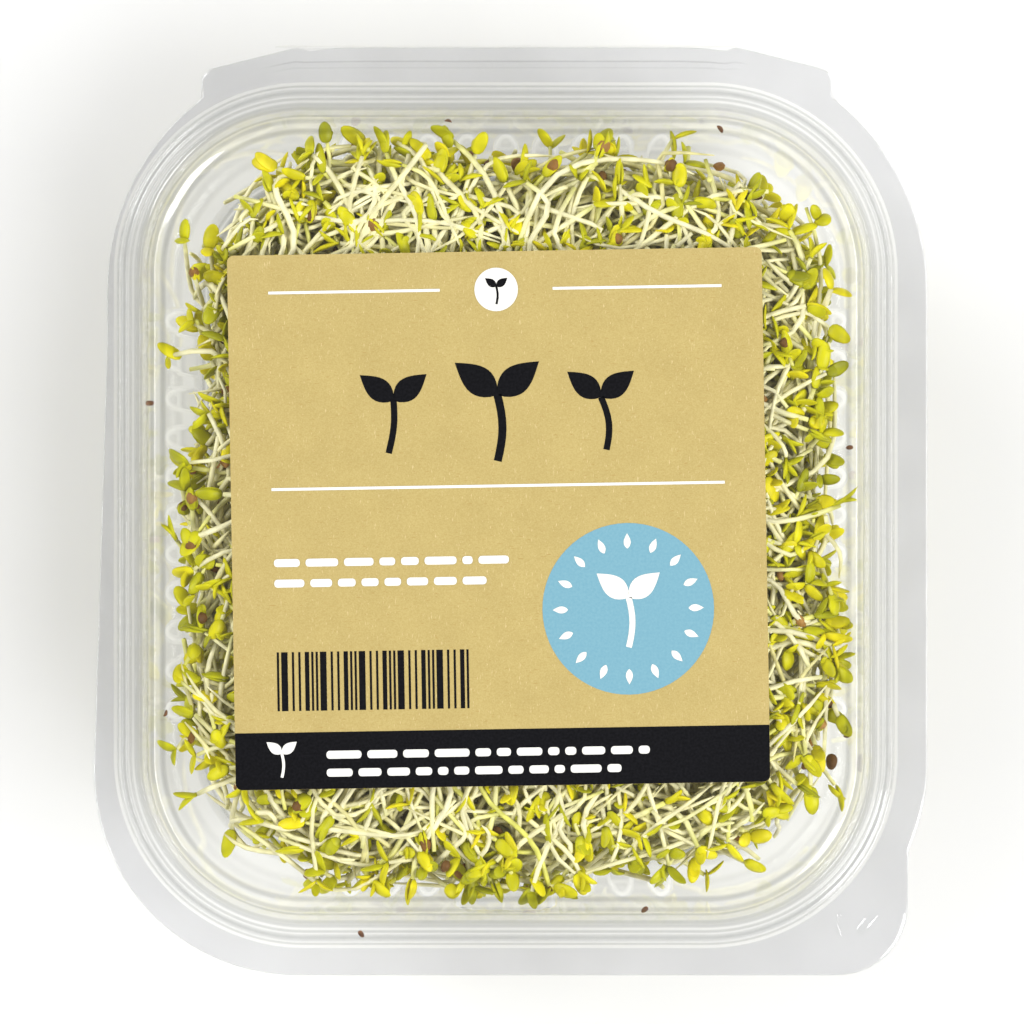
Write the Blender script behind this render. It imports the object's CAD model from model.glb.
"""The looks of a clear hinged punnet of alfalfa sprouts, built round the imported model.

Shapes are worked out in millimetres from the middle of the punnet's raised rim, and made in metres in the
row's frame.
"""

import math

import bmesh
import bpy
import numpy as np
from mathutils import Matrix, Vector


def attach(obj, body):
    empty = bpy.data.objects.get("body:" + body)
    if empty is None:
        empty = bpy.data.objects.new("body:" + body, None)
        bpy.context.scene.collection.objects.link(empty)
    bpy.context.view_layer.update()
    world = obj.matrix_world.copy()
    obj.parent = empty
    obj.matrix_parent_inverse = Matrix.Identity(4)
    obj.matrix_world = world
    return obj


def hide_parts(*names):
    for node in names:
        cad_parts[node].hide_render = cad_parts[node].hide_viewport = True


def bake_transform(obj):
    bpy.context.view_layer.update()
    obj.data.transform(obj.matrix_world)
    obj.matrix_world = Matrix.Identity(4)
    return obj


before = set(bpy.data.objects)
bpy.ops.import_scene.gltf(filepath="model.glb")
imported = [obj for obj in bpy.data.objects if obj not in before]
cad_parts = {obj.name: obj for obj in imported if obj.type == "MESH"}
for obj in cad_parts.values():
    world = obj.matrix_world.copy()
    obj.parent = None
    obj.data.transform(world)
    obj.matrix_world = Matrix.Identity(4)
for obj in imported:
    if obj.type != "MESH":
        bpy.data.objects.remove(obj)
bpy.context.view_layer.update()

MM = 0.001
CENTRE = np.array([0.78, 0.6, 0.0])  # the row's origin, seen from the rim's middle

# The punnet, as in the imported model
RIM_X, RIM_Y, RIM_RADIUS = 60.4, 66.8, 29.0
FLANGE_Z, RIDGE_Z, PANEL_Z, FLOOR_Z, HEEL_Z = 43.8, 46.6, 42.6, 1.7, 2.6
EDGE_RIGHT, EDGE_LEFT, EDGE_FRONT, HINGE_Y = 65.8, -65.8, -71.8, 73.0
FRONT_RADIUS, BACK_RADIUS = 33.0, 38.0
LEFT_TRIM, LEFT_TRIM_SLOPE, MOST_LEFT_TRIM = 2.75, 0.0317, 3.6
TAB_X, TAB_RADIUS = 62.8, 11.0
EAR_INNER, EAR_OUTER, EAR_RADIUS = (36.0, 70.5), (48.8, 67.3), 2.5
WALL_TOP_Z, WALL_TOP_INSET, HEEL_INSET = 42.0, 4.87, 11.0
BEAD_FOOT_Z, WALL_FOOT_Z = 39.5, 3.8
WALL_OUT = 0.45  # how far the drawn wall lies outside the wall's inner line
FLUTE_PITCH, FLUTE_HALF, FLUTE_INSET, FLUTE_DEPTH, FLUTE_BOTTOM = 6.2, 1.7, 6.3, 1.8, 4.6
FLUTE_FADE = 2.4  # the height over which a flute runs out above its bottom
SIDE_FLUTES, END_FLUTES, PAD_FLUTES = 5, 4, 1  # each side of the middle; the pad takes the place of the last
PAD_HALF, PAD_CORNER, PAD_TOP, PAD_DEPTH = 8.0, 3.0, 37.5, 1.1
CUT_EDGE = 0.5  # how thick the sheet shows at its cut edge
GROOVE_DEPTH = 0.3
# Rings of points across the flange, each at a share of its width
FLANGE_SHARES = (1.0, 0.98, 0.88, 0.62, 0.58, 0.54, 0.43, 0.39, 0.35, 0.05)
FLANGE_ROWS = 1 + len(FLANGE_SHARES)
HINGE_GROOVES = {0.58: 1.0, 0.39: 0.45}  # share of the flange's width: strength
TUB_LOWER = 1.05  # how far the tub's sheet lies under the lid's at the flange and the rim

TAB_MARK = (56.4, -63.7)
CRUMBS = [  # caught between the sheets, and on the tub's wall
    (-22.5, -65.2, 45.8),
    (21.7, -61.6, 43.2),
    (53.9, 10.6, 39.5),
    (-55.6, 17.5, 42.9),
    (-53.4, -31.0, 40.2),
    (33.5, 60.4, 41.2),
    (-9.0, 61.5, 42.0),
    (53.6, -34.5, 38.5),
]

# The label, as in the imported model
LABEL_SIDE, LABEL_X, LABEL_Y, LABEL_TURN, LABEL_RADIUS = 83.5, -1.1, -0.55, math.radians(0.95), 1.0
LABEL_Z, LABEL_THICKNESS, INK = 42.9, 0.3, 0.03
FOOT_BAND = 8.9  # the black band's height
PRINT_EDGE, RULE_WIDTH, UPPER_RULE_V, LOWER_RULE_V = 35.4, 0.45, 35.6, 4.9
BADGE, BADGE_RADIUS, BADGE_LEAVES = (20.0, -14.4), 13.4, 16
SMALL_SIGN, SMALL_SIGN_RADIUS = (0.2, 35.8), 3.4
BARS, BARS_FROM, BARS_LOW, BARS_HIGH = 30, -35.0, -29.5, -20.3
SMALL_PRINT = 1.25  # the height of its bars

# The sprouts
CEILING_Z = 41.9
SPROUTS_WITH_LEAVES, BARE_STEMS, SIDE_STEMS = 1450, 1500, 1000
LEAFY_REACH, BARE_REACH, SIDE_REACH = (16.0, 38.0), (20.0, 46.0), (16.0, 34.0)  # least and most, along a stem
STEM_RADIUS, STEM_SPREAD = 0.46, 0.05
UPPER_Z = 35.0  # most of the leafy heads lie above this height, and the side stems below it
CORE_PROFILE = [  # height, and distance off the tub's wall
    (3.0, 8.5), (6.0, 7.0), (12.0, 6.5), (18.0, 6.5), (24.0, 6.5),
    (30.0, 7.0), (34.0, 9.0), (36.5, 12.5), (37.5, 20.0),
]
STRAYS = 0.1  # share of the sprouts whose heads may stand out of the mass, as far as the tub's wall
STEM_SIDES, STEM_POINTS = 5, 11
LEAF_SIZES = ((4.0, 0.45), (2.25, 0.22), (0.75, 0.06))  # length, width and thickness: middle value and spread
LOOSE_SEED_COATS = 110


# Small tools


def to_object(name, points, faces, materials, body, face_materials=None, smooth=True):
    """A mesh object from millimetre points, riding on a body."""
    mesh = bpy.data.meshes.new(name)
    mesh.from_pydata(((np.asarray(points) - CENTRE) * MM).tolist(), [], faces)
    for material in materials:
        mesh.materials.append(material)
    if face_materials is not None:
        mesh.polygons.foreach_set("material_index", face_materials)
    mesh.polygons.foreach_set("use_smooth", [smooth] * len(mesh.polygons))
    mesh.update()
    obj = bpy.data.objects.new(name, mesh)
    bpy.context.scene.collection.objects.link(obj)
    if body:
        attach(obj, body)
    return obj


def set_values(obj, name, values):
    """Stores a number from 0 to 1 on each vertex, for the material to read."""
    attribute = obj.data.attributes.new(name, "FLOAT", "POINT")
    attribute.data.foreach_set("value", np.clip(values, 0, 1).astype(np.float32))


def unit(vectors):
    return vectors / np.maximum(np.linalg.norm(vectors, axis=-1, keepdims=True), 1e-9)


def fillet(profile, radius, steps=4):
    """A polyline with rounded corners, as (inset, height, fold) points: fold is 1 in a corner's middle."""
    points = [np.array(p, float) for p in profile]
    rounded = [(*points[0], 0.0)]
    for before, corner, after in zip(points, points[1:], points[2:]):
        back, ahead = before - corner, after - corner
        reach = min(radius, 0.45 * np.linalg.norm(back), 0.45 * np.linalg.norm(ahead))
        start = corner + back / np.linalg.norm(back) * reach
        end = corner + ahead / np.linalg.norm(ahead) * reach
        for t in np.linspace(0, 1, steps + 1):
            inset, z = (1 - t) ** 2 * start + 2 * t * (1 - t) * corner + t * t * end
            rounded.append((inset, z, math.sin(math.pi * t)))
    rounded.append((*points[-1], 0.0))
    return rounded


# Node materials


class Nodes:
    """A material's node tree, with short calls to add to it."""

    def __init__(self, name):
        self.material = bpy.data.materials.new(name)
        self.material.use_nodes = True
        self.tree = self.material.node_tree
        self.shader = self.tree.nodes["Principled BSDF"]
        self.output = self.tree.nodes["Material Output"]

    def add(self, kind, **values):
        node = self.tree.nodes.new(kind)
        for key, value in values.items():
            if key.startswith("_"):
                setattr(node, key[1:], value)
            else:
                node.inputs[key.replace("_", " ")].default_value = value
        return node

    def link(self, source, target):
        self.tree.links.new(source, target)

    def position(self, scale=(1, 1, 1)):
        """Object-space position, in millimetres times scale."""
        place = self.add("ShaderNodeTexCoord")
        mapping = self.add("ShaderNodeMapping")
        mapping.inputs["Scale"].default_value = [1000 * s for s in scale]
        self.link(place.outputs["Object"], mapping.inputs["Vector"])
        return mapping.outputs["Vector"]

    def noise(self, scale, detail=3.0, stretch=(1, 1, 1), roughness=0.5):
        """Noise with its features about 1/scale millimetres across."""
        node = self.add("ShaderNodeTexNoise", Scale=scale, Detail=detail, Roughness=roughness)
        self.link(self.position(stretch), node.inputs["Vector"])
        return node.outputs["Fac"]

    def ramp(self, source, *stops):
        """A colour ramp over (position, colour) stops."""
        node = self.add("ShaderNodeValToRGB")
        elements = node.color_ramp.elements
        while len(elements) < len(stops):
            elements.new(0.5)
        for element, (where, colour) in zip(elements, stops):
            element.position = where
            element.color = (*colour, 1)
        self.link(source, node.inputs["Fac"])
        return node.outputs["Color"]

    def mix(self, factor, first, second, blend="MIX"):
        node = self.add("ShaderNodeMix", _data_type="RGBA", _blend_type=blend)
        for socket, value in ((node.inputs[0], factor), (node.inputs[6], first), (node.inputs[7], second)):
            if hasattr(value, "is_linked"):
                self.link(value, socket)
            else:
                socket.default_value = value if isinstance(value, float) else (*value, 1)
        return node.outputs[2]

    def bump(self, height, strength, distance):
        node = self.add("ShaderNodeBump", Strength=strength, Distance=distance)
        self.link(height, node.inputs["Height"])
        return node.outputs["Normal"]

    def attribute(self, name):
        return self.add("ShaderNodeAttribute", _attribute_name=name).outputs["Fac"]


def sheet_material(name, passes, haze):
    """Clear formed sheet: it passes less light where it turns away, and it is glossy and faintly hazy."""
    nodes = Nodes(name)
    facing = nodes.add("ShaderNodeLayerWeight", Blend=0.5)
    shares = ((0.0, 1.0), (0.35, 0.98), (0.62, 0.84), (0.86, 0.8), (1.0, 0.25))
    stops = [(where, [share * c for c in passes]) for where, share in shares]
    tint = nodes.ramp(facing.outputs["Facing"], *stops)
    see = nodes.add("ShaderNodeBsdfTransparent")
    folded = nodes.ramp(nodes.attribute("fold"), (0.0, (0, 0, 0)), (1.0, (0.5, 0.5, 0.5)))
    nodes.link(nodes.mix(folded, tint, (0.42, 0.43, 0.43)), see.inputs["Color"])
    shader = nodes.shader
    wave = nodes.noise(0.12, 0.0)
    base = nodes.ramp(wave, (0.3, [0.8 * haze] * 3), (0.7, [1.2 * haze] * 3))
    nodes.link(base, shader.inputs["Base Color"])
    shader.inputs["Roughness"].default_value = 0.07
    both = nodes.add("ShaderNodeAddShader")
    nodes.link(see.outputs[0], both.inputs[0])
    nodes.link(shader.outputs[0], both.inputs[1])
    nodes.link(both.outputs[0], nodes.output.inputs["Surface"])
    return nodes.material


def cut_edge_material():
    """The sheet's cut edge, which gathers light and shows whiter than its faces."""
    nodes = Nodes("cut_edge")
    base = nodes.ramp(nodes.noise(1.5, 2.0), (0.3, (0.62, 0.65, 0.66)), (0.7, (0.8, 0.82, 0.82)))
    nodes.link(base, nodes.shader.inputs["Base Color"])
    nodes.shader.inputs["Roughness"].default_value = 0.35
    see = nodes.add("ShaderNodeBsdfTransparent", Color=(0.9, 0.92, 0.92, 1))
    mix = nodes.add("ShaderNodeMixShader")
    mix.inputs[0].default_value = 0.55
    nodes.link(see.outputs[0], mix.inputs[1])
    nodes.link(nodes.shader.outputs[0], mix.inputs[2])
    nodes.link(mix.outputs[0], nodes.output.inputs["Surface"])
    return nodes.material


def kraft_material():
    """Brown uncoated paper: soft mottling, fine grain and long pale and dark fibres."""
    nodes = Nodes("kraft_paper")
    mottle = nodes.noise(0.16, 4.0)
    base = nodes.ramp(mottle, (0.3, (0.4, 0.305, 0.104)), (0.7, (0.44, 0.34, 0.12)))
    grain = nodes.noise(4.5, 3.0)
    base = nodes.mix(0.3, base, nodes.ramp(grain, (0.35, (0.34, 0.245, 0.078)), (0.65, (0.5, 0.4, 0.167))))
    dark = nodes.ramp(nodes.noise(0.9, 2.0, (1, 7, 1)), (0.66, (0, 0, 0)), (0.72, (1, 1, 1)))
    base = nodes.mix(dark, base, (0.36, 0.24, 0.07))
    pale = nodes.ramp(nodes.noise(1.1, 2.0, (6, 1, 1)), (0.67, (0, 0, 0)), (0.73, (1, 1, 1)))
    base = nodes.mix(pale, base, (0.57, 0.45, 0.22))
    nodes.link(base, nodes.shader.inputs["Base Color"])
    nodes.link(nodes.bump(grain, 0.25, 0.00005), nodes.shader.inputs["Normal"])
    nodes.shader.inputs["Roughness"].default_value = 0.62
    nodes.shader.inputs["Specular IOR Level"].default_value = 0.35
    return nodes.material


def ink_material(name, colour, other, roughness):
    """Printed ink, slightly uneven over the paper's grain."""
    nodes = Nodes(name)
    base = nodes.ramp(nodes.noise(2.5, 4.0), (0.35, colour), (0.75, other))
    nodes.link(base, nodes.shader.inputs["Base Color"])
    nodes.link(nodes.bump(nodes.noise(5.0, 2.0), 0.15, 0.00003), nodes.shader.inputs["Normal"])
    nodes.shader.inputs["Roughness"].default_value = roughness
    nodes.shader.inputs["Specular IOR Level"].default_value = 0.1
    return nodes.material


def living_material(name, colours, mottle_scale, roughness):
    """Fresh plant skin. The piece's tint attribute picks from the colours."""
    nodes = Nodes(name)
    stops = [(i / (len(colours) - 1), colour) for i, colour in enumerate(colours)]
    base = nodes.ramp(nodes.attribute("tint"), *stops)
    mottle = nodes.noise(mottle_scale, 0.0)
    spots = nodes.ramp(mottle, (0.35, (0.85, 0.85, 0.85)), (0.65, (1.08, 1.08, 1.08)))
    base = nodes.mix(1.0, base, spots, "MULTIPLY")
    nodes.link(base, nodes.shader.inputs["Base Color"])
    nodes.shader.inputs["Roughness"].default_value = roughness
    nodes.shader.inputs["Specular IOR Level"].default_value = 0.22
    return nodes.material


def tangle_material():
    """The tangle's inside: olive shadows crossed by pale strands."""
    nodes = Nodes("tangle")
    base = nodes.ramp(nodes.noise(0.3, 3.0), (0.3, (0.34, 0.28, 0.035)), (0.7, (0.58, 0.52, 0.13)))
    strands = None
    for stretch in ((0.16, 1.3, 0.9), (1.2, 0.2, 0.8), (0.8, 0.9, 0.16), (0.5, 0.25, 1.1)):
        lines = nodes.ramp(nodes.noise(0.9, 2.0, stretch), (0.53, (0, 0, 0)), (0.6, (1, 1, 1)))
        base = nodes.mix(lines, base, (0.76, 0.7, 0.32))
        strands = nodes.mix(0.5, strands, lines) if strands else lines
    nodes.link(base, nodes.shader.inputs["Base Color"])
    nodes.link(nodes.bump(strands, 0.8, 0.0008), nodes.shader.inputs["Normal"])
    nodes.shader.inputs["Roughness"].default_value = 0.6
    return nodes.material


# The formed sheet


def stations(corner_steps, side_steps):
    """(base, outward) of points round the rim. At an inset they are base + outward * (RIM_RADIUS - inset)."""
    half_x, half_y = RIM_X - RIM_RADIUS, RIM_Y - RIM_RADIUS
    corners = [(half_x, half_y), (-half_x, half_y), (-half_x, -half_y), (half_x, -half_y)]
    base, outward = [], []
    for quarter, corner in enumerate(corners):
        for step in range(corner_steps):
            angle = (quarter + step / corner_steps) * math.pi / 2
            base.append(corner)
            outward.append((math.cos(angle), math.sin(angle)))
        angle = (quarter + 1) * math.pi / 2
        following = corners[(quarter + 1) % 4]
        for step in range(side_steps):
            share = step / side_steps
            base.append(tuple(a + share * (b - a) for a, b in zip(corner, following)))
            outward.append((round(math.cos(angle)), round(math.sin(angle))))
    return np.array(base), np.array(outward, float)


def ring(base, outward, inset, z):
    flat = base + outward * (RIM_RADIUS - np.asarray(inset))[..., None]
    return np.column_stack([flat, np.full(len(base), z)])


def box_distance(x, y, low, high, radius):
    dx = np.maximum(low[0] - x, x - high[0]) + radius
    dy = np.maximum(low[1] - y, y - high[1]) + radius
    return np.hypot(np.maximum(dx, 0), np.maximum(dy, 0)) + np.minimum(np.maximum(dx, dy), 0) - radius


def capsule_distance(x, y, start, end, radius):
    ax, ay = end[0] - start[0], end[1] - start[1]
    share = np.clip(((x - start[0]) * ax + (y - start[1]) * ay) / (ax * ax + ay * ay), 0, 1)
    return np.hypot(x - start[0] - share * ax, y - start[1] - share * ay) - radius


def edge_distance(x, y):
    """How far points lie outside the sheet's cut edge, with its hinge ears and its opening tab."""
    trim = np.minimum(LEFT_TRIM + LEFT_TRIM_SLOPE * y, MOST_LEFT_TRIM)
    x = np.where(x < 0, x - trim, x)
    low, high = (EDGE_LEFT, EDGE_FRONT), (EDGE_RIGHT, HINGE_Y)
    sheet = np.where(
        y > 0, box_distance(x, y, low, high, BACK_RADIUS), box_distance(x, y, low, high, FRONT_RADIUS)
    )
    tab = box_distance(x, y, (0, EDGE_FRONT), (TAB_X, 0), TAB_RADIUS)
    ear = capsule_distance(np.abs(x), y, EAR_INNER, EAR_OUTER, EAR_RADIUS)
    return np.minimum(np.minimum(sheet, tab), ear)


def edge_reach(base, outward):
    """How far the sheet's cut edge lies outside the rim's foot, along each station's outward line."""
    near, far = np.zeros(len(base)), np.full(len(base), 20.0)
    foot = base + outward * RIM_RADIUS
    for _ in range(24):
        middle = (near + far) / 2
        here = foot + outward * middle[:, None]
        inside = edge_distance(here[:, 0], here[:, 1]) < 0
        near, far = np.where(inside, middle, near), np.where(inside, far, middle)
    return near


def wall_inset(z):
    return WALL_TOP_INSET + (WALL_TOP_Z - z) / (WALL_TOP_Z - HEEL_Z) * (HEEL_INSET - WALL_TOP_INSET)


def sheet_mesh(rows, cap):
    """Points and faces of a sheet from its cut edge inwards: the cut edge itself first, then the flange."""
    count = len(rows[0])
    points = np.concatenate(rows)
    faces, kinds = [], []
    for r in range(len(rows) - 1):
        for i in range(count):
            j = (i + 1) % count
            faces.append((r * count + i, r * count + j, (r + 1) * count + j, (r + 1) * count + i))
            kinds.append(1 if r == 0 else 2 if r < FLANGE_ROWS else 0)
    if cap:
        faces.append(tuple(range((len(rows) - 1) * count, len(rows) * count)))
        kinds.append(0)
    return points, faces, kinds


def flange_rows(base, outward, z, groove=0.0):
    """The cut edge and the flat flange: its edge turns down a little, and grooves run along the hinge."""
    reach = edge_reach(base, outward)
    at_back = np.clip((outward[:, 1] - 0.98) / 0.02, 0, 1)
    rows = [ring(base, outward, -reach, z - CUT_EDGE)]
    folds = [np.zeros(len(base))]
    for share in FLANGE_SHARES:
        row = ring(base, outward, -1.0 - (reach - 1.0) * share, z)
        fold = at_back * HINGE_GROOVES.get(share, 0.0) * (groove > 0)
        row[:, 2] -= 0.12 if share == 1.0 else groove * fold
        rows.append(row)
        folds.append(fold)
    return rows, folds


def make_lid(clear, edge, flange):
    base, outward = stations(36, 14)
    profile = [(-0.8, FLANGE_Z), (0.0, FLANGE_Z), (1.1, RIDGE_Z), (3.6, RIDGE_Z), (5.1, 43.4)]
    profile = fillet([*profile, (6.8, PANEL_Z), (8.2, PANEL_Z)], 0.7)
    rows, folds = flange_rows(base, outward, FLANGE_Z, GROOVE_DEPTH)
    rows += [ring(base, outward, inset, z) for inset, z, _ in profile]
    folds += [np.full(len(base), fold) for _, _, fold in profile]
    points, faces, kinds = sheet_mesh(rows, cap=True)
    lid = to_object("lid_sheet", points, faces, [clear, edge, flange], "lid", kinds)
    set_values(lid, "fold", np.concatenate(folds))
    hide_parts("lid")


def flute_insets(base, outward):
    """How far in from the rim each flute's upright face stands, and infinity between the flutes."""
    insets = np.full(len(base), np.inf)
    for side, along, limit in ((0, 1, SIDE_FLUTES), (1, 0, END_FLUTES)):
        for sign in (-1, 1):
            front = side == 1 and sign == -1
            for k in range(-limit, limit + 1):
                if front and abs(k) <= PAD_FLUTES:
                    continue
                distance = np.abs(base[:, along] - k * FLUTE_PITCH)
                curve = FLUTE_INSET + FLUTE_HALF - np.sqrt(np.maximum(FLUTE_HALF ** 2 - distance ** 2, 0))
                insets = np.where((outward[:, side] == sign) & (distance < FLUTE_HALF), curve, insets)
    return insets


def pad_raise(base, outward, z):
    """How far the pad in the front wall stands out at a height, from 0 to 1."""
    low, high = (-PAD_HALF, FLUTE_BOTTOM), (PAD_HALF, PAD_TOP)
    gap = box_distance(base[:, 0], np.full(len(base), z), low, high, PAD_CORNER)
    raised = np.clip(-gap / 1.2, 0, 1)
    return np.where(outward[:, 1] == -1, raised * raised * (3 - 2 * raised), 0.0)


def make_tub(clear, edge, flange):
    base, outward = stations(26, 170)
    top = FLANGE_Z - TUB_LOWER
    crest = RIDGE_Z - TUB_LOWER
    bead = [(-0.8, top), (0.75, top), (1.85, crest), (2.9, crest), (wall_inset(WALL_TOP_Z) - 0.4, WALL_TOP_Z)]
    bead.append((wall_inset(BEAD_FOOT_Z) - WALL_OUT, BEAD_FOOT_Z))
    rows, folds = flange_rows(base, outward, top)
    bead = fillet(bead, 0.7)[:-1]
    rows += [ring(base, outward, inset, z) for inset, z, _ in bead]
    folds += [np.full(len(base), fold) for _, _, fold in bead]
    flutes = flute_insets(base, outward)
    heights = [*np.arange(BEAD_FOOT_Z, 32, -1.2), *np.arange(31.0, 18.0, -0.6), *np.arange(17.8, 8, -2.6)]
    for z in [*heights, 7.0, 6.2, 5.4, 4.6, WALL_FOOT_Z]:
        wall = wall_inset(z) - WALL_OUT
        depth = FLUTE_DEPTH * np.clip((z - FLUTE_BOTTOM) / FLUTE_FADE, 0, 1)
        raised = wall - np.clip(flutes, wall - depth, wall)
        rows.append(ring(base, outward, wall - raised - PAD_DEPTH * pad_raise(base, outward, z), z))
        folds.append(np.where(raised > 0, np.clip(1.2 - raised / 0.5, 0, 1), 0.0))
    foot = [(wall_inset(WALL_FOOT_Z) - WALL_OUT, WALL_FOOT_Z)]
    foot += [(10.9, 1.4), (11.9, 0.0), (15.4, 0.0), (16.8, 1.25), (19.0, 1.25)]
    foot = fillet(foot, 1.0)[1:]
    rows += [ring(base, outward, inset, z) for inset, z, _ in foot]
    folds += [np.full(len(base), fold) for _, _, fold in foot]
    points, faces, kinds = sheet_mesh(rows, cap=True)
    tub = to_object("tub_sheet", points, faces, [clear, edge, flange], "tub", kinds)
    set_values(tub, "fold", np.concatenate(folds))
    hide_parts("tub")


def make_hinge(clear):
    """The fold at the back, one web of sheet from the tub's edge round to the lid's."""
    low, high = FLANGE_Z - TUB_LOWER, FLANGE_Z
    middle, steps, half = (low + high) / 2, 8, 36.0
    points = []
    for x in (-half, half):
        for i in range(steps + 1):
            angle = -math.pi / 2 + math.pi * i / steps
            z = middle + (high - low) / 2 * math.sin(angle)
            points.append((x, HINGE_Y - 0.1 + 0.45 * math.cos(angle), z))
    faces = [(i, i + steps + 1, i + steps + 2, i + 1) for i in range(steps)]
    web = to_object("hinge_web", points, faces, [clear], None)
    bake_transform(web)


def make_tab_marks(clear):
    """The thumb marks pressed into the opening tab: a slanting oval and a thin arc beside it."""
    points, faces = [], []

    def add_patch(rows, across, place):
        first = len(points)
        for i in range(rows + 1):
            for j in range(across + 1):
                points.append(place(i / rows, j / across))
        for i in range(rows):
            for j in range(across):
                a = first + i * (across + 1) + j
                faces.append((a, a + 1, a + across + 2, a + across + 1))

    def oval(t, s):
        radius, angle = t, 2 * math.pi * s
        u, v = 2.3 * radius * math.cos(angle), 1.1 * radius * math.sin(angle)
        turn = math.radians(50)
        x, y = u * math.cos(turn) - v * math.sin(turn), u * math.sin(turn) + v * math.cos(turn)
        return (TAB_MARK[0] + x, TAB_MARK[1] + y, FLANGE_Z + 0.05 + 0.5 * (1 - radius ** 2))

    def arc(t, s):
        angle = math.radians(155 + 50 * t)
        radius = 4.6 + 0.7 * (s - 0.5)
        rise = 0.3 * math.sin(math.pi * s) * math.sin(math.pi * t)
        x, y = radius * math.cos(angle), radius * math.sin(angle)
        return (TAB_MARK[0] + x, TAB_MARK[1] + y, FLANGE_Z + 0.05 + rise)

    add_patch(6, 24, oval)
    add_patch(12, 6, arc)
    marks = to_object("tab_marks", points, faces, [clear], "lid")


def make_crumbs():
    """Crumbs of seed coat caught between the two sheets and on the tub's wall."""
    nodes = Nodes("crumbs")
    nodes.link(
        nodes.ramp(nodes.noise(2.0, 2.0), (0.3, (0.09, 0.03, 0.01)), (0.7, (0.24, 0.1, 0.03))),
        nodes.shader.inputs["Base Color"],
    )
    nodes.shader.inputs["Roughness"].default_value = 0.6
    draw = np.random.default_rng(3)
    centres = np.array(CRUMBS)
    along = unit(draw.normal(size=(len(CRUMBS), 3)) * (1, 1, 0.15))
    crumbs = make_hulls("crumbs", draw, centres, along, nodes.material, (1.3, 0.8, 0.5), loose=False)


# The label


def label_point(u, v, z):
    """A point on the label, u to its right and v up it, in millimetres."""
    cosine, sine = math.cos(LABEL_TURN), math.sin(LABEL_TURN)
    return (LABEL_X + u * cosine - v * sine, LABEL_Y + u * sine + v * cosine, z)


def rounded_box(u0, v0, u1, v1, radius, steps=5):
    """An outline with round corners. radius is one number, or four from the lower left, anticlockwise."""
    radii = radius if isinstance(radius, tuple) else (radius,) * 4
    outline = []
    corners = [(u0, v0, 1, 1), (u1, v0, -1, 1), (u1, v1, -1, -1), (u0, v1, 1, -1)]
    for quarter, ((u, v, in_u, in_v), r) in enumerate(zip(corners, radii)):
        for step in range(steps + 1):
            angle = math.pi + (quarter + step / steps) * math.pi / 2
            outline.append((u + in_u * r + r * math.cos(angle), v + in_v * r + r * math.sin(angle)))
    return outline


def disc(u, v, radius, steps=64):
    angles = [2 * math.pi * i / steps for i in range(steps)]
    return [(u + radius * math.cos(angle), v + radius * math.sin(angle)) for angle in angles]


def leaf_outline(u, v, length, width, angle, steps=12):
    """An oval leaf from its stalk end at (u, v)."""
    cosine, sine = math.cos(angle), math.sin(angle)
    outline = []
    for i in range(2 * steps):
        t = i / steps if i < steps else 2 - i / steps
        side = 1 if i < steps else -1
        along, across = t * length, side * width / 2 * math.sin(math.pi * t ** 0.8)
        outline.append((u + along * cosine - across * sine, v + along * sine + across * cosine))
    return outline


def strip(points, width):
    """A line of some width through the points."""
    left, right = [], []
    for i, (u, v) in enumerate(points):
        u0, v0 = points[max(i - 1, 0)]
        u1, v1 = points[min(i + 1, len(points) - 1)]
        length = math.hypot(u1 - u0, v1 - v0)
        across = (-(v1 - v0) / length * width / 2, (u1 - u0) / length * width / 2)
        left.append((u + across[0], v + across[1]))
        right.append((u - across[0], v - across[1]))
    return right + left[::-1]


def sprout_sign(u, v, size, lean=0.0):
    """Outlines of a plain sprout sign: a bowed stem with two open seed leaves."""
    shares = np.linspace(0, 1, 9)
    stem = [(u + lean * t * t + 0.05 * size * math.sin(3 * t), v + size * 0.62 * t) for t in shares]
    top = stem[-1]
    return [
        strip(stem, size * 0.075),
        leaf_outline(*top, size * 0.5, size * 0.27, math.radians(38)),
        leaf_outline(*top, size * 0.5, size * 0.27, math.radians(142)),
    ]


def small_print(u0, u1, v, height, draw):
    """A line of plain bars where small print would be."""
    outlines = []
    u = u0
    while u < u1 - 1.5:
        length = min(draw.uniform(1.6, 5.5), u1 - u)
        outlines.append(rounded_box(u, v, u + length, v + height, height * 0.4, 3))
        u += length + 0.9
    return outlines


def print_on(name, outlines, z, material):
    """Flat printed shapes, a hair above the paper."""
    points, faces = [], []
    for outline in outlines:
        first = len(points)
        points += [label_point(u, v, z) for u, v in outline]
        faces.append(tuple(range(first, first + len(outline))))
    obj = to_object(name, points, faces, [material], "lid", smooth=False)
    return obj


def rule(u0, u1, v):
    return rounded_box(u0, v, u1, v + RULE_WIDTH, 0.05, 2)


def make_paper():
    """The label's paper, a thin square with round corners."""
    half = LABEL_SIDE / 2
    outline = rounded_box(-half, -half, half, half, LABEL_RADIUS, 6)
    count = len(outline)
    points = [label_point(u, v, LABEL_Z) for u, v in outline]
    points += [label_point(u, v, LABEL_Z + LABEL_THICKNESS) for u, v in outline]
    faces = [tuple(range(count))[::-1], tuple(range(count, 2 * count))]
    faces += [(i, (i + 1) % count, count + (i + 1) % count, count + i) for i in range(count)]
    paper = to_object("label_paper", points, faces, [kraft_material()], "lid", smooth=False)
    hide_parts("label")


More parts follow.
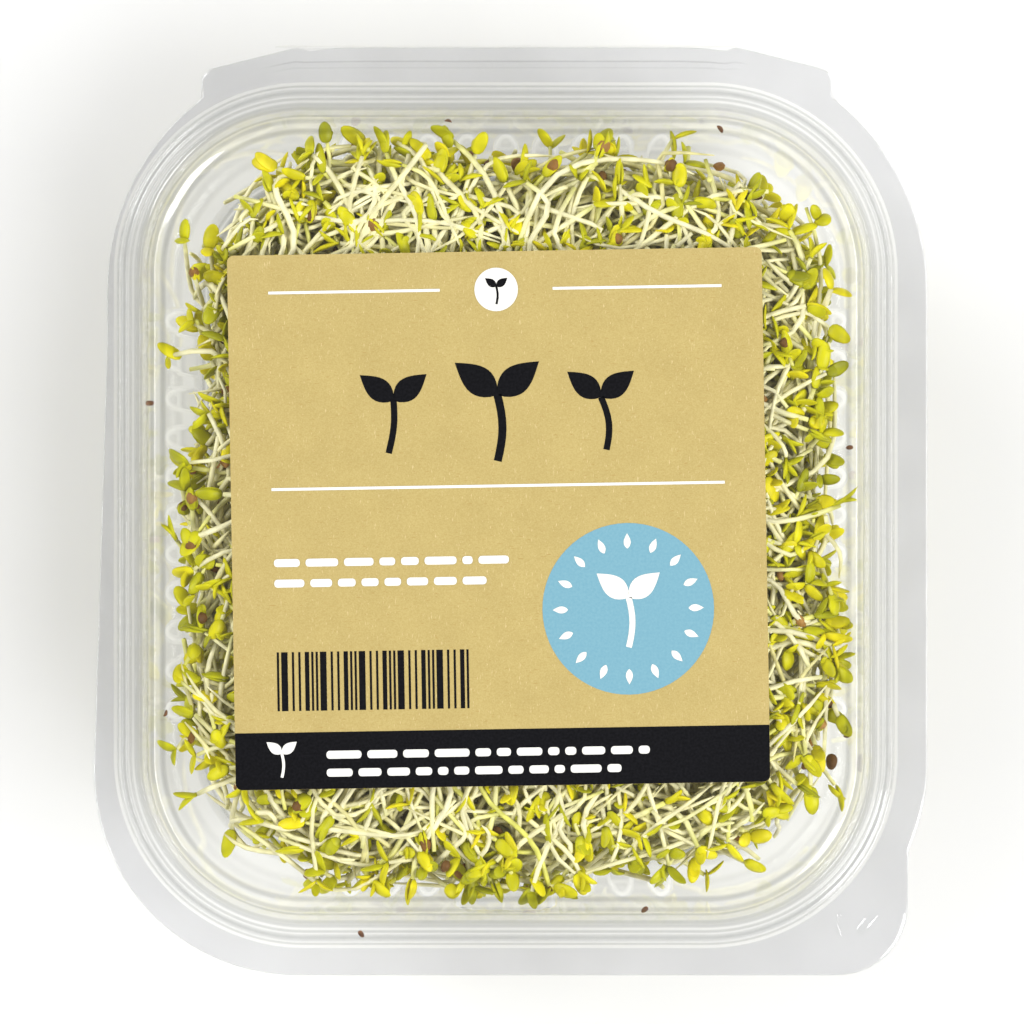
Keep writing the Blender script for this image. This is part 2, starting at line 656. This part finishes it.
def dark_print():
    """The foot band, three sprout signs in a row and a block of plain bars."""
    low, high = -LABEL_SIDE / 2 + 0.02, LABEL_SIDE / 2 - 0.02
    band_top = -LABEL_SIDE / 2 + FOOT_BAND
    outlines = [rounded_box(low, low, high, band_top, (LABEL_RADIUS, LABEL_RADIUS, 0.01, 0.01))]
    for place, v, size in ((-1, 10.5, 13.225), (0, 9.0, 16.675), (1, 10.5, 13.225)):
        outlines += sprout_sign(17.0 * place, v, size, -0.8 * place)
    u = BARS_FROM
    for i in range(BARS):
        width = (0.34, 0.67, 0.34, 1.0)[(i * 7 + i // 3) % 4]
        outlines.append(rounded_box(u, BARS_LOW, u + width, BARS_HIGH, 0.01, 1))
        u += width + (0.34, 0.67)[(i * 5 // 3) % 2]
    return outlines


def light_print():
    """Thin rules, the small disc, lines of plain bars and the sign in the foot band."""
    draw = np.random.default_rng(7)
    band_top = -LABEL_SIDE / 2 + FOOT_BAND
    outlines = [rule(-PRINT_EDGE, -8.6, UPPER_RULE_V), rule(9.0, PRINT_EDGE, UPPER_RULE_V)]
    outlines.append(disc(*SMALL_SIGN, SMALL_SIGN_RADIUS, 40))
    outlines.append(rule(-PRINT_EDGE, PRINT_EDGE, LOWER_RULE_V))
    lines = [(-35.2, 1.5, -7.0), (-35.2, 0.0, -10.2)]
    lines += [(-27.5, 23.0, band_top - 4.2), (-27.5, 20.0, band_top - 7.0)]
    for start, end, v in lines:
        outlines += small_print(start, end, v, SMALL_PRINT, draw)
    return outlines + sprout_sign(-34.5, -LABEL_SIDE / 2 + 1.9, 6.0)


def badge_print():
    """The sprout sign in the blue disc, in a ring of small leaves."""
    u, v = BADGE
    outlines = sprout_sign(u, v - 6.0, 12.5)
    for angle in np.arange(BADGE_LEAVES) * 2 * math.pi / BADGE_LEAVES:
        outlines.append(leaf_outline(u + 9.4 * math.cos(angle), v + 9.4 * math.sin(angle), 2.4, 1.1, angle))
    return outlines


def make_label():
    white = ink_material("ink_white", (0.72, 0.71, 0.66), (0.78, 0.77, 0.73), 0.5)
    black = ink_material("ink_black", (0.003, 0.003, 0.004), (0.008, 0.008, 0.01), 0.42)
    blue = ink_material("ink_blue", (0.15, 0.32, 0.405), (0.18, 0.355, 0.43), 0.5)
    top = LABEL_Z + LABEL_THICKNESS
    make_paper()
    print_on("label_print_dark", dark_print(), top + INK, black)
    print_on("label_print_light", light_print(), top + 2 * INK, white)
    print_on("label_badge", [disc(*BADGE, BADGE_RADIUS)], top + INK, blue)
    print_on("label_badge_sign", badge_print(), top + 2 * INK, white)
    print_on("label_small_sign", sprout_sign(SMALL_SIGN[0], 33.5, 4.4), top + 3 * INK, black)


# The sprouts


def tub_depth(points):
    """How deep points lie inside the tub's round-cornered wall."""
    inset = wall_inset(points[..., 2])
    half = np.array([RIM_X - RIM_RADIUS, RIM_Y - RIM_RADIUS])
    away = points[..., :2] - np.clip(points[..., :2], -half, half)
    return RIM_RADIUS - inset - np.linalg.norm(away, axis=-1)


def confine(points, margin):
    """Points moved in, where they must be, to keep this far from the tub's wall and floor and the lid."""
    margin = np.broadcast_to(np.asarray(margin, float), points.shape[:-1])
    z = np.clip(points[..., 2], FLOOR_Z + 0.3 + margin * 0.3, CEILING_Z - np.minimum(margin, 1.0))
    radius = np.maximum(RIM_RADIUS - wall_inset(z) - margin, 1.0)
    half = np.array([RIM_X - RIM_RADIUS, RIM_Y - RIM_RADIUS])
    core = np.clip(points[..., :2], -half, half)
    away = points[..., :2] - core
    length = np.maximum(np.linalg.norm(away, axis=-1), 1e-6)
    flat = core + away * np.minimum(1.0, radius / length)[..., None]
    return np.concatenate([flat, z[..., None]], axis=-1)


def move_clear(copies, margin):
    """Each copy moved as a whole, by the most that any of its points lies too near the wall or the lid."""
    shift = confine(copies, margin) - copies
    most = np.argmax(np.linalg.norm(shift, axis=-1), axis=1)
    return copies + shift[np.arange(len(copies)), most][:, None]


def outward_at(points, skin=12.0):
    """The way the mass faces near each point: up, out to the wall, or between."""
    half = np.array([RIM_X - RIM_RADIUS, RIM_Y - RIM_RADIUS])
    away = points[:, :2] - np.clip(points[:, :2], -half, half)
    wall = unit(away) * np.maximum(0, skin - tub_depth(points))[:, None]
    lift = np.maximum(0, skin - (CEILING_Z - points[:, 2]))
    return unit(np.column_stack([wall, lift]) + 1e-6)


def random_units(draw, count):
    return unit(draw.normal(size=(count, 3)))


def draw_heads(draw, count, depth, bottom=FLOOR_Z + 3, top=CEILING_Z):
    """Places for the sprouts' heads, spread over the mass's skin between two heights."""
    found = []
    while len(found) < count:
        low, high = (-RIM_X, -RIM_Y, bottom), (RIM_X, RIM_Y, top)
        points = draw.uniform(low, high, size=(4000, 3))
        held = np.where(draw.random(4000) < STRAYS, 0.15, 1.0)
        inside = np.minimum(tub_depth(points) - held * slack(points), CEILING_Z - points[:, 2])
        wanted = (inside > 0.8) & (inside < depth * draw.random(4000) ** 0.7 + 1.0)
        found.extend(points[wanted])
    return np.array(found[:count])


def slack(points):
    """How far the mass stays off the tub's wall, in millimetres: most in the corners, and unevenly."""
    x = np.clip((np.abs(points[..., 0]) - 26) / 22, 0, 1)
    y = np.clip((np.abs(points[..., 1]) - 32) / 20, 0, 1)
    angle = np.arctan2(points[..., 1], points[..., 0])
    uneven = 1.5 * np.sin(5 * angle + 0.7) + 1.2 * np.sin(11 * angle + 2.1) + 0.9 * np.sin(23 * angle)
    left = 1.8 * np.maximum(0, -np.cos(angle)) ** 2
    return np.maximum(0, 2.4 + uneven + left) + 8.5 * x * y


def stem_paths(draw, heads, length, inward):
    """Each stem from its head back to its root: it wanders through the skin and sinks into the mass."""
    count = len(heads)
    outward = outward_at(heads)
    to_middle = unit(np.column_stack([-heads[:, 0], -heads[:, 1], np.zeros(count)]))
    run = unit(np.cross(outward, random_units(draw, count)) + inward * to_middle)
    across = unit(np.cross(outward, run))
    reach = draw.uniform(*length, size=count)
    sink = draw.uniform(1.0, 9.0, size=count)
    sway, turns = draw.uniform(1.0, 6.0, size=count), draw.uniform(0.5, 1.6, size=count)
    phase, ripple = draw.uniform(0, 2 * math.pi, size=(2, count))
    t = np.linspace(0, 1, STEM_POINTS)[None, :]
    along = reach[:, None] * t
    phase = phase[:, None]
    swing = sway[:, None] * (np.sin(2 * math.pi * turns[:, None] * t + phase) - np.sin(phase))
    rise = -sink[:, None] * t ** 1.2 + 0.9 * np.sin(2 * math.pi * 1.7 * t + ripple[:, None]) * t
    path = heads[:, None] + run[:, None] * along[..., None]
    path = path + across[:, None] * swing[..., None] + outward[:, None] * rise[..., None]
    margin = draw.gamma(1.6, 1.6, size=count)[:, None] + 0.9
    astray = tub_depth(heads) < slack(heads) + 0.8
    stray = np.where(astray, 0.1, np.where(draw.random(count) < 0.14, 0.3, 1.0))[:, None]
    path = confine(path, margin + stray * slack(path))
    for _ in range(3):
        path[:, 1:-1] = (path[:, :-2] + 2 * path[:, 1:-1] + path[:, 2:]) / 4
    return path


def tubes(paths, radii, sides):
    """Points, faces and shares along for a closed tube round each path."""
    count, steps, _ = paths.shape
    tangent = unit(np.gradient(paths, axis=1))
    normal = np.empty_like(paths)
    start = np.cross(tangent[:, 0], [0.3, 0.5, 0.8])
    normal[:, 0] = unit(start)
    for i in range(1, steps):
        before, ahead = normal[:, i - 1], tangent[:, i]
        normal[:, i] = unit(before - ahead * np.sum(before * ahead, axis=1, keepdims=True))
    other = np.cross(tangent, normal)
    angles = np.arange(sides) * 2 * math.pi / sides
    around = np.cos(angles)[:, None] * normal[:, :, None] + np.sin(angles)[:, None] * other[:, :, None]
    points = paths[:, :, None] + around * radii[:, :, None, None]
    index = np.arange(count * steps * sides).reshape(count, steps, sides)
    turned = np.roll(index, -1, axis=2)
    quads = np.stack([index[:, :-1], turned[:, :-1], turned[:, 1:], index[:, 1:]], axis=-1).reshape(-1, 4)
    caps = [tuple(row) for end in (index[:, 0, ::-1], index[:, -1]) for row in end.tolist()]
    return points.reshape(-1, 3), [tuple(q) for q in quads.tolist()] + caps


def leaf_template(rows=7, around=8):
    """A seed leaf along +X from its stalk, faces up and down Z, one unit long: points and faces."""
    points = [(0.0, 0.0, 0.0)]
    for i in range(1, rows):
        t = (1 - math.cos(math.pi * i / rows)) / 2
        width = 0.5 * (1 - abs(2 * t ** 0.85 - 1) ** 2.4) ** 0.55
        thick = 0.5 * math.sin(math.pi * t) ** 0.6
        for k in range(around):
            angle = 2 * math.pi * k / around
            points.append((t, width * math.cos(angle), thick * math.sin(angle)))
    points.append((1.0, 0.0, 0.0))
    last = len(points) - 1
    faces = []
    for k in range(around):
        j = (k + 1) % around
        faces.append((0, 1 + j, 1 + k))
        faces.append((last, last - around + k, last - around + j))
        for i in range(rows - 2):
            a = 1 + i * around
            faces.append((a + k, a + j, a + around + j, a + around + k))
    return np.array(points), faces


def place_copies(template, faces, origin, along, across, normal, size, cup):
    """Copies of a template, each with its own place, axes, size (length, width, thickness) and cupping."""
    count, each = len(origin), len(template)
    x = template[None, :, 0] * size[:, :1]
    y = template[None, :, 1] * size[:, 1:2]
    z = template[None, :, 2] * size[:, 2:3]
    z = z - cup[:, None] * ((template[None, :, 0] - 0.5) ** 2 * 4 + (template[None, :, 1] * 2) ** 2 * 0.5 - 1)
    points = origin[:, None] + along[:, None] * x[..., None] + across[:, None] * y[..., None]
    points = points + normal[:, None] * z[..., None]
    all_faces = [tuple(v + i * each for v in face) for i in range(count) for face in faces]
    return points, all_faces


def rotate(vectors, axes, angles):
    """Vectors turned about unit axes (Rodrigues)."""
    cosine, sine = np.cos(angles)[:, None], np.sin(angles)[:, None]
    dot = np.sum(vectors * axes, axis=1, keepdims=True)
    return vectors * cosine + np.cross(axes, vectors) * sine + axes * dot * (1 - cosine)


def add_piece(name, points, faces, material, tint):
    obj = to_object(name, points.reshape(-1, 3), faces, [material], "tub")
    set_values(obj, "tint", tint)
    return obj


def make_stems(name, draw, paths, material):
    """The stems: palest in the middle, a little greener towards the head, thin at the root."""
    count = len(paths)
    t = np.linspace(0, 1, STEM_POINTS)[None, :]
    thick = draw.normal(STEM_RADIUS, STEM_SPREAD, size=count)[:, None]
    radii = thick * (1 - 0.45 * t ** 3) * (1 - 0.25 * np.exp(-12 * t))
    radii[:, -1] *= 0.4
    points, faces = tubes(paths, radii, STEM_SIDES)
    tint = draw.normal(0.5, 0.14, size=count)[:, None] + 0.35 * np.exp(-6 * t)
    return add_piece(name, points, faces, material, np.repeat(tint.reshape(-1), STEM_SIDES))


def make_leaves(draw, paths, material, hull_material):
    """Two seed leaves at each head, open like a book or nearly shut, some still gripped by the seed coat."""
    count = len(paths)
    head = paths[:, 0]
    heading = unit(paths[:, 0] - paths[:, 2] + 0.9 * random_units(draw, count) + 0.35 * outward_at(head))
    axis = unit(np.cross(heading, random_units(draw, count)))
    shut = draw.random(count) < 0.13
    opening = np.where(shut, 0.07, draw.beta(1.6, 2.4, size=count) * 1.35 + 0.1)
    template, faces = leaf_template()
    tone = draw.beta(2.2, 2.2, size=count)
    for turn, name in ((1, "leaves_a"), (-1, "leaves_b")):
        along = rotate(heading, axis, turn * opening * draw.uniform(0.8, 1.2, size=count))
        normal = np.cross(along, axis) * turn
        sizes = [draw.normal(middle, spread, count) for middle, spread in LEAF_SIZES]
        size = np.column_stack(sizes)
        cup = draw.uniform(0.15, 0.45, size=count)
        origin = head + normal * 0.22
        points, all_faces = place_copies(template, faces, origin, along, axis, normal, size, cup)
        points = move_clear(points, 0.25)
        tint = tone[:, None] + draw.normal(0, 0.08, size=count)[:, None]
        tint = tint - 0.22 * (template[None, :, 0] < 0.12)
        add_piece(name, points, all_faces, material, tint.reshape(-1))
    worn = shut & (draw.random(count) < 0.45)
    hulls = head[worn] + heading[worn] * 2.4
    make_hulls("seed_coats_on_leaves", draw, hulls, heading[worn], hull_material, (2.4, 2.0, 1.9))


def make_hulls(name, draw, centres, along, material, size, loose=True):
    """Seed coats: small bean-shaped husks."""
    count = len(centres)
    template, faces = leaf_template(6, 8)
    across = unit(np.cross(along, random_units(draw, count)))
    normal = np.cross(along, across)
    sizes = np.array(size) * draw.uniform(0.85, 1.15, size=(count, 1))
    origin = centres - along * sizes[:, :1] / 2
    cup = np.full(count, 0.25)
    points, all_faces = place_copies(template, faces, origin, along, across, normal, sizes, cup)
    tint = np.repeat(draw.random(count), len(template))
    points = move_clear(points, 0.2) if loose else points
    return add_piece(name, points, all_faces, material, tint)


def make_core(material):
    """The tangle's inside, which closes the view between the stems."""
    base, outward = stations(10, 12)
    draw = np.random.default_rng(5)
    rows = []
    for z, extra in CORE_PROFILE:
        inset = wall_inset(z) + extra + slack(ring(base, outward, 8.0, z)) + draw.normal(0, 0.7, len(base))
        row = ring(base, outward, np.minimum(inset, RIM_RADIUS - 0.5), z)
        row[:, 2] += draw.normal(0, 0.6, len(base))
        rows.append(row)
    points, faces, _ = sheet_mesh(rows, cap=True)
    core = to_object("tangle_core", points, faces, [material], "tub")
    bm = bmesh.new()
    bm.from_mesh(core.data)
    bmesh.ops.recalc_face_normals(bm, faces=bm.faces)
    bm.to_mesh(core.data)
    bm.free()


def make_sprouts():
    draw = np.random.default_rng(11)
    pale = [(0.65, 0.585, 0.19), (0.79, 0.74, 0.39), (0.84, 0.795, 0.51), (0.7, 0.685, 0.14)]
    lime = [(0.3, 0.305, 0.002), (0.5, 0.49, 0.001), (0.64, 0.59, 0.002), (0.75, 0.64, 0.004)]
    brown = [(0.1, 0.045, 0.008), (0.24, 0.11, 0.02), (0.38, 0.2, 0.05)]
    stem_skin = living_material("stem_skin", pale, 0.6, 0.35)
    leaf_skin = living_material("leaf_skin", lime, 0.5, 0.42)
    hull_skin = living_material("seed_coat", brown, 1.2, 0.55)
    leafy, bare, side = SPROUTS_WITH_LEAVES, BARE_STEMS, SIDE_STEMS
    upper = 5 * leafy // 8
    spread_heads = draw_heads(draw, leafy - upper, 5.0)
    upper_heads = draw_heads(draw, upper, 4.0, bottom=UPPER_Z)
    paths = stem_paths(draw, np.concatenate([spread_heads, upper_heads]), LEAFY_REACH, 0.9)
    leafy_stems = make_stems("stems_with_leaves", draw, paths, stem_skin)
    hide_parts("sprouts")
    make_leaves(draw, paths, leaf_skin, hull_skin)
    bare_paths = stem_paths(draw, draw_heads(draw, bare, 9.0), BARE_REACH, 0.5)
    make_stems("stems_in_the_tangle", draw, bare_paths, stem_skin)
    side_paths = stem_paths(draw, draw_heads(draw, side, 6.0, top=UPPER_Z), SIDE_REACH, 0.1)
    make_stems("stems_at_the_sides", draw, side_paths, stem_skin)
    loose = confine(draw_heads(draw, LOOSE_SEED_COATS, 6.0), 2.0)
    lie = random_units(draw, LOOSE_SEED_COATS)
    make_hulls("loose_seed_coats", draw, loose, lie, hull_skin, (2.4, 1.7, 1.3))
    make_core(tangle_material())


# The studio

LAMPS = [  # name, place, width, length, power
    ("key", (0.62, -0.42, 0.8), 0.45, 0.45, 8.5),
    ("fill", (-0.72, 0.52, 0.7), 0.45, 0.45, 5.5),
    ("left_strip", (-0.85, 0.0, 0.6), 0.16, 1.0, 4.5),
    ("right_strip", (0.85, 0.1, 0.6), 0.16, 1.0, 4.5),
]
FLOOR_HALF, FLOOR_GREY = 2.0, (0.74, 0.74, 0.74)
SKY_LOW, SKY_HIGH = (0.8, 0.8, 0.78), (0.28, 0.28, 0.28)
CAMERA_HEIGHT, CAMERA_X, CAMERA_Y = 0.9, 0.0002, -0.0001
SEEN_ACROSS = 0.16  # metres across the picture, at the lid
SENSOR_WIDTH = 36


def make_floor():
    floor = bpy.data.objects.new("floor", bpy.data.meshes.new("floor"))
    half = FLOOR_HALF
    corners = [(-half, -half, 0), (half, -half, 0), (half, half, 0), (-half, half, 0)]
    floor.data.from_pydata(corners, [], [(0, 1, 2, 3)])
    nodes = Nodes("pale_floor")
    nodes.shader.inputs["Base Color"].default_value = (*FLOOR_GREY, 1)
    nodes.shader.inputs["Roughness"].default_value = 0.8
    floor.data.materials.append(nodes.material)
    bpy.context.scene.collection.objects.link(floor)


def make_lamp(name, place, width, length, power):
    """A soft rectangle of light that faces the origin."""
    light = bpy.data.lights.new(name, "AREA")
    light.shape = "RECTANGLE"
    light.size = width
    light.size_y = length
    light.energy = power
    lamp = bpy.data.objects.new(name, light)
    lamp.location = place
    back = Vector(place).normalized()
    side = Vector((0, 1, 0)).cross(back).normalized()
    lamp.rotation_euler = Matrix((side, back.cross(side), back)).transposed().to_euler()
    bpy.context.scene.collection.objects.link(lamp)


def make_sky():
    """Soft light from all round, brightest near the floor."""
    world = bpy.data.worlds.new("studio")
    world.use_nodes = True
    nodes = world.node_tree.nodes
    place = nodes.new("ShaderNodeTexCoord")
    height = nodes.new("ShaderNodeSeparateXYZ")
    ramp = nodes.new("ShaderNodeValToRGB")
    ramp.color_ramp.elements[0].color = (*SKY_LOW, 1)
    ramp.color_ramp.elements[1].color = (*SKY_HIGH, 1)
    links = world.node_tree.links
    links.new(place.outputs["Generated"], height.inputs[0])
    links.new(height.outputs["Z"], ramp.inputs[0])
    links.new(ramp.outputs[0], nodes["Background"].inputs["Color"])
    bpy.context.scene.world = world


def make_studio():
    make_floor()
    for lamp in LAMPS:
        make_lamp(*lamp)
    make_sky()
    bpy.context.scene.view_settings.view_transform = "Standard"


def make_camera():
    """Straight down from far off, as in the photo."""
    camera = bpy.data.objects.new("camera", bpy.data.cameras.new("camera"))
    camera.data.lens = SENSOR_WIDTH * CAMERA_HEIGHT / SEEN_ACROSS
    camera.data.clip_start = 0.01
    camera.location = (CAMERA_X, CAMERA_Y, PANEL_Z * MM + CAMERA_HEIGHT)
    bpy.context.scene.collection.objects.link(camera)
    bpy.context.scene.camera = camera


make_camera()
make_studio()
clear_sheet = sheet_material("clear_sheet", (0.95, 0.952, 0.95), 0.003)
flange_sheet = sheet_material("flange_sheet", (0.8, 0.802, 0.812), 0.04)
cut_edge = cut_edge_material()
make_tub(clear_sheet, cut_edge, flange_sheet)
make_lid(clear_sheet, cut_edge, flange_sheet)
make_tab_marks(clear_sheet)
make_crumbs()
make_hinge(clear_sheet)
make_label()
make_sprouts()
